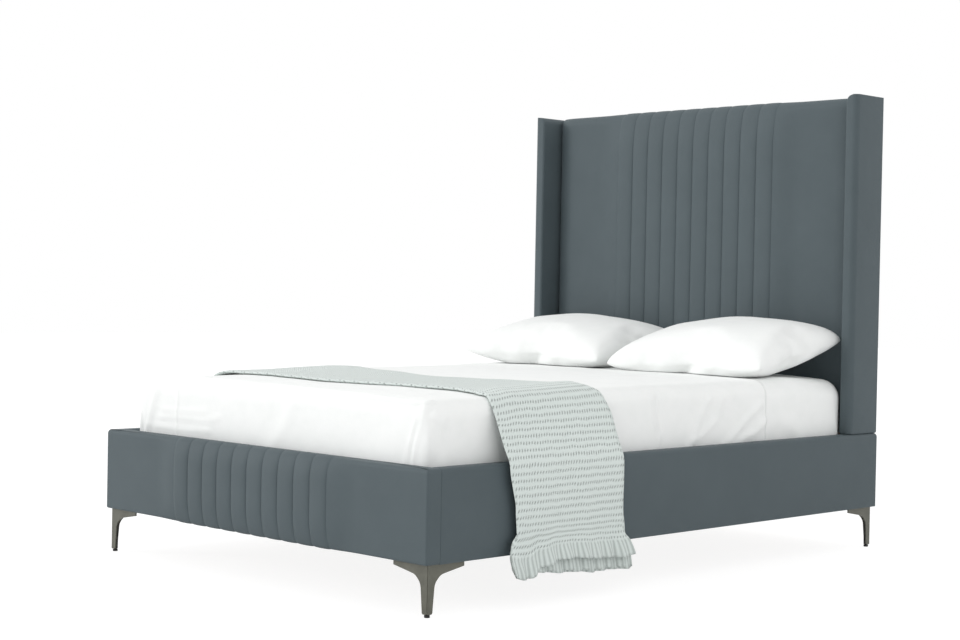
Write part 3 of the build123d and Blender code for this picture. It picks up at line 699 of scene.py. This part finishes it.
cotton_white = (0.925, 0.938, 0.928)
cotton_painted_shade = (0.895, 0.912, 0.900)
sheet_thickness = 0.0012
fitted_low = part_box("fitted_sheet")[0]
fitted_gap = 0.0005
fitted_cell = 0.025
fitted_lift = 0.0008
fitted_wave = 0.0012
below_hem = 0.02


def cotton_cloth(name, light, shade):
    """Plain white cotton with a fine weave, faint creases with painted shade in their low places, and a soft
    surface.
    """
    material, shader = new_material(name, light, 0.82)
    shader.inputs["Sheen Weight"].default_value = 0.12
    shader.inputs["Specular IOR Level"].default_value = 0.3
    place = object_place(material)
    weave = cloud(material, place, 1400.0, 2.0, 0.6)
    crumple = cloud(material, place, 16.0, 4.0, 0.55)
    # Painted shade: the crumple's low places, which the bump also sinks, take the darker shade colour.
    colour_between(material, shader, crumple, shade, light, (0.25, 0.55))
    relief(material, shader, blended(material, crumple, weave, 0.1), 0.0035, 0.35)
    return material


def crease(place, axes, line, width):
    """1 on a folded line and less beside it; the line has places on two of the axes."""
    point = Vector((place[axes[0]], place[axes[1]]))
    nearest = 1e9
    for start, end in zip(line, line[1:]):
        start, end = Vector(start), Vector(end)
        run = end - start
        share = min(1.0, max(0.0, (point - start).dot(run) / run.length_squared))
        nearest = min(nearest, (point - start - run * share).length)
    return math.exp(-(nearest / width) ** 2)


def trim(piece, axis, place, keep_above):
    """Cuts a piece off at a plane and drops one side, leaving the cut open."""
    edit_all(piece)
    bpy.ops.mesh.bisect(**plane_at(axis, place), clear_inner=keep_above, clear_outer=not keep_above,
                        use_fill=False)
    leave_edit()


white_cotton = cotton_cloth("white_cotton", cotton_white, cotton_painted_shade)
fitted_creases = (
    (((0.480, 0.470), (0.531, 0.466), (0.662, 0.455), (0.808, 0.451), (0.860, 0.452)), 0.006, 0.0022),
    (((0.500, 0.426), (0.542, 0.437), (0.608, 0.425), (0.647, 0.397), (0.665, 0.367)), 0.016, 0.0070),
    (((0.490, 0.405), (0.560, 0.412), (0.615, 0.390), (0.630, 0.367)), 0.012, -0.0050),
    (((0.823, 0.535), (0.848, 0.461), (0.868, 0.394), (0.872, 0.360)), 0.007, 0.0035),
)

fitted = padded_form("fitted_sheet_cotton", mattress_low - Vector((fitted_gap, fitted_gap, below_hem)),
                     mattress_high + Vector((fitted_gap, fitted_gap, fitted_gap)), mattress_corner,
                     mattress_edge, below_hem, fitted_cell)
trim(fitted, 2, fitted_low.z, True)
dress_piece(fitted, white_cotton, math.radians(60))
normals = facings(fitted)
for vertex in fitted.data.vertices:
    place, normal = vertex.co.copy(), normals[vertex.index]
    settled = place - Vector((0, 0, sag(place)))
    lift = fitted_lift + fitted_wave * max(0.0, noise.noise(place * 9))
    if place.y > 0.45 and place.x > 0.60:
        lift += sum(height * crease(settled, (1, 2), line, width) for line, width, height in fitted_creases)
    vertex.co = settled + normal * max(lift, 0.0)
give_thickness(fitted, sheet_thickness)
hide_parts("fitted_sheet")
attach(fitted, "mattress")


# Flat sheet
# A second cotton sheet laid over the fitted one and tucked in at the foot. It hangs to the rails
# on both sides, its corners are folded in like an envelope, and it ends below the pillows.

flat_low, flat_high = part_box("flat_sheet")
flat_gap = 0.0022
flat_top_gap = 0.0025
flat_edge = mattress_edge - 0.012
flat_cell = 0.020
flat_lift = 0.0010
flat_wave = 0.003
corner_power = 5
foot_creases = (
    (((-0.586, 0.534), (-0.543, 0.542), (-0.438, 0.546), (-0.227, 0.547), (0.105, 0.545),
     (0.399, 0.542), (0.559, 0.536), (0.642, 0.535)), 0.0060, 0.0110),
    (((-0.437, 0.534), (-0.437, 0.486), (-0.440, 0.437), (-0.436, 0.370)), 0.005, 0.0022),
    (((-0.542, 0.529), (-0.572, 0.453), (-0.603, 0.370)), 0.010, 0.0050),
    (((-0.505, 0.531), (-0.530, 0.465), (-0.581, 0.370)), 0.010, -0.0040),
    (((-0.546, 0.456), (-0.477, 0.452), (-0.425, 0.453), (-0.298, 0.460)), 0.006, 0.0026),
    (((-0.545, 0.429), (-0.450, 0.434), (-0.373, 0.434), (-0.283, 0.433), (-0.224, 0.448)), 0.006, 0.0030),
    (((-0.582, 0.400), (-0.475, 0.399), (-0.398, 0.398), (-0.272, 0.404)), 0.008, 0.0035),
    (((0.110, 0.504), (0.081, 0.446), (0.014, 0.370)), 0.026, 0.0040),
    (((0.191, 0.440), (0.149, 0.367)), 0.022, -0.0030),
    (((0.634, 0.528), (0.611, 0.470), (0.593, 0.411), (0.580, 0.370)), 0.007, 0.0040),
    (((0.642, 0.521), (0.633, 0.471), (0.619, 0.423), (0.611, 0.370)), 0.007, 0.0030),
    (((0.650, 0.515), (0.664, 0.475), (0.665, 0.440), (0.655, 0.370)), 0.009, -0.0060),
)
side_creases = (
    (((-0.911, 0.511), (-0.921, 0.485), (-0.930, 0.447), (-0.943, 0.370)), 0.008, 0.0030),
    (((-0.715, 0.500), (-0.714, 0.458), (-0.701, 0.423), (-0.689, 0.370)), 0.012, -0.0060),
    (((-0.079, 0.540), (-0.067, 0.508), (-0.064, 0.479), (-0.054, 0.449), (-0.046, 0.428),
     (-0.056, 0.385), (-0.065, 0.360)), 0.008, 0.0070),
    (((-0.058, 0.520), (-0.040, 0.450), (-0.030, 0.428), (-0.045, 0.370)), 0.010, -0.0030),
    (((0.186, 0.515), (0.167, 0.500), (0.130, 0.441), (0.108, 0.397), (0.084, 0.370)), 0.011, 0.0055),
    (((0.250, 0.519), (0.223, 0.453), (0.146, 0.405), (0.108, 0.394)), 0.010, 0.0045),
    (((0.445, 0.491), (0.369, 0.447), (0.309, 0.400), (0.260, 0.370)), 0.011, 0.0065),
    (((0.478, 0.443), (0.422, 0.407), (0.371, 0.394), (0.300, 0.370)), 0.010, 0.0060),
)

flat_sheet = padded_form("flat_sheet_cotton", mattress_low - Vector((flat_gap, flat_gap, below_hem)),
                         mattress_high + Vector((flat_gap, flat_gap, flat_top_gap)), mattress_corner,
                         flat_edge, below_hem, flat_cell)
trim(flat_sheet, 2, flat_low.z, True)
trim(flat_sheet, 1, flat_high.y, False)
slice_at(flat_sheet, 2, [0.552, 0.557, 0.561, 0.565])
slice_at(flat_sheet, 0, [-0.442, -0.437, -0.432])
edit_all(flat_sheet)
bpy.ops.mesh.remove_doubles(threshold=0.0008)
bpy.ops.mesh.subdivide(number_cuts=1)
leave_edit()
dress_piece(flat_sheet, white_cotton, math.radians(60))
normals = facings(flat_sheet)
for vertex in flat_sheet.data.vertices:
    place, normal = vertex.co.copy(), normals[vertex.index]
    settled = place - Vector((0, 0, sag(place)))
    lift = flat_lift + flat_wave * max(0.0, noise.noise(place * 5 + Vector((3, 1, 7))))
    for axes, facing, creases in (((0, 2), -normal.y, foot_creases), ((1, 2), normal.x, side_creases)):
        for line, width, height in creases if facing > 0.05 else ():
            lift += height * crease(settled, axes, line, width) * smooth_step(facing * 2)
    if normal.x < -0.3:
        low_part = smooth_step((0.50 - place.z) / 0.1)
        wave = math.sin(place.y * 21 + 3 * math.sin(place.y * 5))
        lift += flat_wave * wave * low_part + flat_wave * low_part
    corner = Vector((place.x - mattress_high.x + mattress_corner, mattress_low.y + mattress_corner - place.y))
    if min(corner) > 0 and place.x > 0:
        way = corner.normalized()
        sharp = (way.x ** corner_power + way.y ** corner_power) ** (-1 / corner_power) - 1
        lift += mattress_corner * sharp * smooth_step((0.57 - place.z) / 0.05)
    vertex.co = settled + normal * max(lift, 0.0003)
give_thickness(flat_sheet, sheet_thickness)
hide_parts("flat_sheet")
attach(flat_sheet, "mattress")


# Pillows
# Two pillows in white cotton cases lie side by side at the headboard. Each is a flat sewn bag
# swelled by its filling. It lies flat where it rests and leans up a little towards the head.

pillow_low, pillow_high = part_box("pillow_right")
pillow_middle = (pillow_low + pillow_high) / 2
pillow_half = (pillow_high - pillow_low) / 2
sheets_depth = 0.0040
bed_top = mattress_high.z + sheets_depth
bag_half = (0.340, 0.250)
bag_seam = 0.006
bag_cells = (28, 20)
filling_pressure = 3.0
fill_frames = 25
under_depth = 0.080


def pillow_bag(name):
    """A flat closed bag, cut into a net, before it is filled."""
    bag = add_block(name, (-bag_half[0], -bag_half[1], -bag_seam), (bag_half[0], bag_half[1], bag_seam))
    for axis in range(2):
        cells = bag_cells[axis]
        slice_at(bag, axis, [bag_half[axis] * number / cells for number in range(1 - cells, cells)])
    return bag


def fill_bag(bag, crown_height):
    """Swells the bag by cloth simulation, so its edges draw in and pucker, then fits its size."""
    filling = bag.modifiers.new("filling", "CLOTH")
    cloth = filling.settings
    cloth.quality = 5
    cloth.mass = 0.02
    cloth.tension_stiffness = cloth.compression_stiffness = 15
    cloth.shear_stiffness = 6
    cloth.bending_stiffness = 0.6
    cloth.tension_damping = cloth.compression_damping = cloth.shear_damping = 8
    cloth.air_damping = 1.5
    cloth.use_pressure = True
    cloth.uniform_pressure_force = filling_pressure
    cloth.effector_weights.gravity = 0
    filling.point_cache.frame_start = 1
    filling.point_cache.frame_end = fill_frames
    for frame_number in range(1, fill_frames + 1):
        bpy.context.scene.frame_set(frame_number)
    apply_to(bag, filling)
    bpy.context.scene.frame_set(1)
    edit_all(bag)
    bpy.ops.mesh.vertices_smooth(factor=0.5, repeat=4)
    leave_edit()
    extent = [max(abs(vertex.co[axis]) for vertex in bag.data.vertices) for axis in range(3)]
    for vertex in bag.data.vertices:
        u, v, full = (vertex.co[axis] / extent[axis] for axis in range(3))
        vertex.co.x = u * pillow_half.x * (1 + 0.05 * (1 - v * v))
        vertex.co.y = v * pillow_half.y * (1 + 0.10 * (1 - u * u))
        vertex.co.z = full ** 0.75 * crown_height if full > 0 else full * under_depth


pillow_bodies = (("pillow_right_case", "pillow_right", 1, 0.108, (0.592, 0.600, 0.668, 0.690)),
                 ("pillow_left_case", "pillow_left", -1, 0.097, (0.614, 0.600, 0.690, 0.668)))
for name, node, side, crown_height, heights in pillow_bodies:
    pillow = pillow_bag(name)
    fill_bag(pillow, crown_height)
    front_left, front_right, back_left, back_right = heights
    for vertex in pillow.data.vertices:
        u = 0.5 + vertex.co.x / pillow_half.x / 2
        v = 0.5 + vertex.co.y / pillow_half.y / 2
        front = front_left + (front_right - front_left) * u
        back = back_left + (back_right - back_left) * u
        vertex.co += Vector((pillow_middle.x * side, pillow_middle.y, front + (back - front) * v))
        vertex.co.z = max(vertex.co.z, bed_top - sag(vertex.co) + 0.0005)
    dress_piece(pillow, white_cotton, math.radians(80))
    finer = pillow.modifiers.new("finer", "SUBSURF")
    finer.levels = 1
    apply_to(pillow, finer)
    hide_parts(node)
    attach(pillow, node)


# Throw
# A knitted blanket, folded lengthwise in three and laid across the foot end. It hangs over both
# side rails, lower on the right, where its ribbed hems flare out.

yarn_light = (0.71, 0.775, 0.75)
# The darker yarn colour is painted shade, used in the open stitches and the hems' rib grooves.
yarn_painted_shade = (0.43, 0.475, 0.455)
throw_cut = (1.29, 2.20)
layer = 0.0034
row_pitch = 0.0195
stitch_pitch = 0.0100
rib_pitch = 0.0125
hem_depth = 0.062
left_drop = 0.014
left_shorter = 0.165
front_settle = 0.008
layer_shift = (0.012, 0.0, -0.016)
hem_wave = 0.0065
upper_flare = 0.006
end_flare = 0.014
hang_line = ((0.600, 0.565), (0.640, 0.558), (0.672, 0.541), (0.691, 0.510), (0.706, 0.470),
             (0.727, 0.415), (0.7425, 0.378), (0.7445, 0.340), (0.7450, 0.280), (0.7455, 0.210),
             (0.7480, 0.150), (0.7540, 0.105), (0.7600, 0.070))
front_edge = ((-0.80, -0.672), (-0.68, -0.668), (-0.545, -0.652), (-0.372, -0.683), (-0.227, -0.713),
              (-0.004, -0.743), (0.116, -0.732), (0.316, -0.704), (0.48, -0.690), (0.55, -0.706),
              (0.62, -0.730), (0.70, -0.750), (0.78, -0.751), (0.86, -0.746),
              (0.98, -0.720), (1.04, -0.716), (1.09, -0.745), (1.12, -0.757))
back_edge = ((-0.80, -0.240), (-0.66, -0.235), (-0.45, -0.270), (-0.17, -0.362), (0.15, -0.436),
             (0.296, -0.413), (0.42, -0.374), (0.54, -0.345), (0.62, -0.335), (0.68, -0.306),
             (0.75, -0.289), (0.86, -0.288),
             (1.00, -0.291), (1.06, -0.284), (1.12, -0.262))
upper_hem = ((-0.76, 0.083), (-0.716, 0.073), (-0.68, 0.074), (-0.64, 0.100), (-0.57, 0.113),
             (-0.52, 0.113), (-0.40, 0.102), (-0.31, 0.097), (-0.26, 0.109))
lower_hem = ((-0.76, 0.098), (-0.66, 0.088), (-0.63, 0.084), (-0.55, 0.075), (-0.49, 0.073),
             (-0.43, 0.065), (-0.36, 0.065), (-0.26, 0.060))


def between(table, place):
    """A value read from a table of places and values, with smooth steps between them."""
    if place <= table[0][0]:
        return table[0][1]
    for (start, first), (end, last) in zip(table, table[1:]):
        if place <= end:
            return first + (last - first) * smooth_step((place - start) / (end - start))
    return table[-1][1]


def smooth_line(points, steps):
    """Points on a smooth line through the given ones."""
    line = []
    for number in range(len(points) - 1):
        p0 = Vector(points[max(0, number - 1)])
        p1, p2 = Vector(points[number]), Vector(points[number + 1])
        p3 = Vector(points[min(len(points) - 1, number + 2)])
        for step in range(steps):
            t = step / steps
            line.append(0.5 * (2 * p1 + (p2 - p0) * t + (2 * p0 - 5 * p1 + 4 * p2 - p3) * t * t
                               + (3 * p1 - p0 - 3 * p2 + p3) * t ** 3))
    return line + [Vector(points[-1])]


hang = smooth_line(hang_line, 8)
hang_lengths = [0.0]
for start, end in zip(hang, hang[1:]):
    hang_lengths.append(hang_lengths[-1] + (end - start).length)


def across_bed(run):
    """Where the throw lies at a run from the bed's middle: (x, height), and the way it faces."""
    side = 1 if run > 0 else -1
    run = abs(run)
    top_run = hang_line[0][0]
    if run <= top_run:
        return side * run, None, Vector((0, 1))
    rest = min(run - top_run, hang_lengths[-1])
    number = next(n for n in range(1, len(hang)) if hang_lengths[n] >= rest)
    share = (rest - hang_lengths[number - 1]) / (hang_lengths[number] - hang_lengths[number - 1])
    spot = hang[number - 1].lerp(hang[number], share)
    way = (hang[number] - hang[number - 1]).normalized()
    return side * spot.x, spot.y, Vector((-way.y * side, way.x))


def throw_place(run, across, level, front_pull):
    """A place on the throw: run over the bed, share across it and height of its layer."""
    x, height, face = across_bed(run)
    front, back = between(front_edge, run), between(back_edge, run)
    y = front + (back - front) * across + front_pull
    spot = Vector((x, y, bed_top))
    top = bed_top - sag(spot)
    high = hang_line[0][1] if height is None else height
    lower = left_drop
    if run > 0:
        lower = foot_sag * (towards_foot(y) - 0.55) + front_settle * smooth_step(1 - across / 0.2)
    lower *= smooth_step((high - 0.44) / 0.1)
    if height is None:
        z = top
        if abs(run) > 0.5:
            z += (high - lower - top) * smooth_step((abs(run) - 0.5) / 0.1)
    else:
        z = height - lower
    rolled = max(0.0, abs(x) - (mattress_high.x + flat_gap - flat_edge))
    if rolled < flat_edge:
        z = max(z, top - flat_edge + math.sqrt(flat_edge ** 2 - rolled ** 2))
    return Vector((x + face.x * level, y, z + face.y * level))


right_end = hang_line[0][0] + hang_lengths[-1]
left_end = left_shorter - right_end
runs = [left_end + (right_end - left_end) * number / 220 for number in range(221)]
fold_width = throw_cut[0] / 3
fold_reach = 0.010
flare_reach = 0.085
loose_from = 0.210
near_fold = (0.0, 0.002, 0.005, 0.010, 0.018)
shares = list(near_fold) + [0.028 + 0.0104 * number for number in range(37)]
shares += [fold_width - step for step in reversed(near_fold[1:])]
# One column of vertices for each share of each layer; where the cloth turns, two layers share one.
columns = []
for number in range(3):
    columns += [(number, share) for share in shares if number == 2 or share < fold_width - 0.0005]

throw = add_net("knitted_throw", len(runs) - 1, len(columns) - 1)
cut_places = {}
for vertex in throw.data.vertices:
    row = round((vertex.co.x + 0.5) * (len(runs) - 1))
    column = round((vertex.co.y + 0.5) * (len(columns) - 1))
    run = runs[row]
    number, share = columns[column]
    cut_places[vertex.index] = (run, number * fold_width + share)
    across = share / fold_width if number != 1 else 1 - share / fold_width
    level = (number + 0.6) * layer
    if number > 0 and share < fold_reach:
        level -= layer / 2 * (1 - share / fold_reach)
    if number < 2 and share > fold_width - fold_reach:
        level += layer / 2 * (1 - (fold_width - share) / fold_reach)
    pull = layer_shift[number] * (across if number == 2 else 1 - across)
    spot = throw_place(run, across, level, pull)
    if run > 0.95:
        hem = between(upper_hem if number == 2 else lower_hem, spot.y)
        if number == 1:
            hem += upper_flare
        if spot.z < loose_from:
            drop = (loose_from - spot.z) / (loose_from - hang_line[-1][1])
            spot.z = loose_from - (loose_from - hem) * drop
    if run < left_end + 0.09:
        spot.z += 0.006 * noise.noise(Vector((spot.y * 9, number, 2)))
    if run > 0:
        near_hem = smooth_step((run - (right_end - flare_reach)) / flare_reach)
    else:
        near_hem = smooth_step(((left_end + flare_reach) - run) / flare_reach) * 0.6
    wave = math.sin(spot.y * 2 * math.pi / 0.058 + 1.7 * math.sin(spot.y * 17) + number * 1.9)
    flare = near_hem * (hem_wave * wave + upper_flare * (number == 2))
    ends = max(smooth_step(1 - across / 0.16), smooth_step((across - 0.86) / 0.14))
    flare += near_hem * end_flare * ends * (number == 2)
    waver = 0.004 * math.sin(spot.y * 2 * math.pi / 0.16 + 0.6) * smooth_step((abs(run) - 0.74) / 0.2)
    spot.x += (flare + max(waver, -0.001)) * (1 if run > 0 else -1)
    vertex.co = spot

for loop in throw.data.loops:
    throw.data.uv_layers.active.data[loop.index].uv = cut_places[loop.vertex_index]


def ranged(material, value, low, high):
    """0 at the low value, 1 at the high one and a straight run between."""
    return place_node(material, "ShaderNodeMapRange",
                      {"Value": value, "From Min": low, "From Max": high}).outputs["Result"]


def knitted(name, light, painted_shade):
    """Rows of slanted open stitches between thick yarn, with upright ribs at both hems; the stitch holes and
    the rib grooves get a darker colour as painted shade.
    """
    material, shader = new_material(name, light, 0.92)
    shader.inputs["Sheen Weight"].default_value = 0.3
    shader.inputs["Specular IOR Level"].default_value = 0.2
    cut = place_node(material, "ShaderNodeTexCoord").outputs["UV"]
    run, across, _ = place_node(material, "ShaderNodeSeparateXYZ", {"Vector": cut}).outputs
    wobble = cloud(material, cut, 30.0, 2.0)
    rows = sums(material, "ADD", sums(material, "DIVIDE", run, row_pitch),
                times(material, wobble, 0.5))
    in_row = sums(material, "FRACT", rows)
    row_number = sums(material, "FLOOR", rows)
    stitches = sums(material, "ADD", sums(material, "DIVIDE", across, stitch_pitch),
                    times(material, in_row, 0.9))
    stitches = sums(material, "ADD", stitches, times(material, row_number, 0.37))
    in_stitch = sums(material, "ABSOLUTE", sums(material, "SUBTRACT", sums(material, "FRACT", stitches), 0.5))
    from_row = sums(material, "ABSOLUTE", sums(material, "SUBTRACT", in_row, 0.5))
    hole = times(material, ranged(material, in_stitch, 0.28, 0.04),
                ranged(material, from_row, 0.32, 0.06))
    middle = (right_end + left_end) / 2
    from_middle = sums(material, "ABSOLUTE", sums(material, "SUBTRACT", run, middle))
    edge = (right_end - left_end) / 2 - hem_depth
    hem = ranged(material, from_middle, edge, edge + 0.008)
    body = sums(material, "SUBTRACT", 1.0, hem)
    ribs = sums(material, "SINE", times(material, across, 2 * math.pi / rib_pitch))
    ribs = times(material, sums(material, "ADD", ribs, 1.0), 0.5)
    rib_groove = sums(material, "SUBTRACT", 1.0, sums(material, "POWER", ribs, 0.6))
    # Painted shade: the colour darkens in the open stitches and in the hems' rib grooves, where the same
    # share also sinks the bump.
    painted_shade_share = sums(material, "ADD", times(material, hole, body),
                      times(material, times(material, rib_groove, hem), 0.7))
    yarn = times(material, cloud(material, cut, 420.0, 3.0, 0.7), 0.25)
    share = sums(material, "SUBTRACT", sums(material, "ADD", 0.80, yarn), painted_shade_share)
    colour_between(material, shader, share, painted_shade, light, (0.05, 0.95))
    relief(material, shader, sums(material, "SUBTRACT", yarn, painted_shade_share), 0.0030, 0.9)
    return material


knit = knitted("knit", yarn_light, yarn_painted_shade)
dress_piece(throw, knit, math.radians(60))
give_thickness(throw, layer * 0.85)
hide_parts("throw_blanket")
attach(throw, "throw")


# Room
# A pale floor under plain studio light. The camera stands low at the bed's foot, to the right,
# and looks along the side that is nearer to it.

pale = (0.90, 0.90, 0.90)
camera_place = Vector((3.96262, -4.05716, 0.8425))
camera_turn = 0.78911
camera_pitch = -0.01855
camera_roll = 0.01889
camera_lens = 65.99

bpy.ops.object.select_all(action="DESELECT")
bpy.ops.mesh.primitive_plane_add(size=40, location=(0, 0, 0))
floor = bpy.context.object
floor.name = "floor"
paint, shader = new_material("floor_paint", pale, 0.9)
seen = place_node(paint, "ShaderNodeLightPath").outputs["Is Camera Ray"]
shader.inputs["Emission Color"].default_value = (1, 1, 1, 1)
paint.node_tree.links.new(times(paint, seen, 0.88), shader.inputs["Emission Strength"])
tone = place_node(paint, "ShaderNodeMapRange",
                  {"Value": seen, "To Min": 0.90, "To Max": 0.17}).outputs["Result"]
paint.node_tree.links.new(tone, shader.inputs["Base Color"])
floor.data.materials.append(paint)

world = bpy.data.worlds.new("studio")
bpy.context.scene.world = world
world.use_nodes = True
background = world.node_tree.nodes["Background"]
background.inputs["Color"].default_value = (1, 1, 1, 1)
rays = place_node(world, "ShaderNodeLightPath").outputs
glassy = sums(world, "MAXIMUM", rays["Is Glossy Ray"], rays["Is Transmission Ray"])
either = sums(world, "MAXIMUM", rays["Is Camera Ray"], glassy)
strength = place_node(world, "ShaderNodeMapRange", {"Value": either, "To Min": 0.95, "To Max": 1.0})
world.node_tree.links.new(strength.outputs["Result"], background.inputs["Strength"])

lamp = bpy.data.lights.new("front_left_lamp", "SUN")
lamp.energy = 0.85
lamp.angle = math.radians(16)
holder = bpy.data.objects.new("front_left_lamp", lamp)
bpy.context.collection.objects.link(holder)
holder.rotation_euler = Vector((0.70, 0.66, -0.34)).to_track_quat("-Z", "Y").to_euler()

lens = bpy.data.cameras.new("camera")
lens.lens = camera_lens
lens.sensor_width = 36
camera = bpy.data.objects.new("camera", lens)
bpy.context.collection.objects.link(camera)
camera.matrix_world = (Matrix.Translation(camera_place) @ Matrix.Rotation(camera_turn, 4, "Z")
                       @ Matrix.Rotation(math.pi / 2 + camera_pitch, 4, "X")
                       @ Matrix.Rotation(camera_roll, 4, "Z"))
bpy.context.scene.camera = camera
bpy.context.scene.view_settings.view_transform = "Standard"
